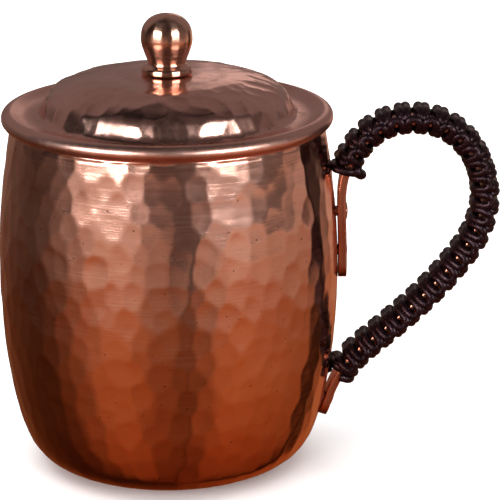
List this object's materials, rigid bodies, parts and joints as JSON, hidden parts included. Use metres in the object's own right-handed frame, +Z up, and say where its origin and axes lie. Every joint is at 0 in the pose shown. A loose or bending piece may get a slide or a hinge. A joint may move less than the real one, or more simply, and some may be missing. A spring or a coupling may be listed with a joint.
{
  "type": "lidded mug",
  "caption": "Barrel-shaped hammered copper mug with a lift-off domed lid, a turned ball knob and a strap loop handle wrapped in knotted cord.",
  "frame": {"origin": "centre of the mug's flat base, on the plane that it stands on", "axes": "+Z up along the mug's axis, +X from the axis towards the handle, +Y completes a right-handed frame"},
  "size_m": [0.1356, 0.092, 0.1243],
  "materials": {
    "hammered_copper": "hand-hammered facets, polished",
    "polished_copper": "lathe-turned, mirror polished",
    "strap_copper": "satin, handled",
    "fastener_brass": "machined",
    "cord": "braided, waxy sheen"
  },
  "bodies": {
    "mug": {"mug_body": "hammered_copper", "handle_strap": "strap_copper", "upper_rivet_high": "strap_copper", "upper_rivet_low": "strap_copper", "lower_rivet": "strap_copper", "grip_cord_outer": "cord", "grip_cord_inner": "cord"},
    "lid": {"lid_shell": "hammered_copper", "lid_locating_collar": "strap_copper", "lid_knob": "polished_copper", "knob_washer": "fastener_brass", "knob_screw": "fastener_brass"}
  },
  "joints": [
    {"name": "lid_lift", "type": "slide", "parent": "mug", "child": "lid", "axis": [0, 0, 1], "range_m": [0, 0.08]}
  ]
}
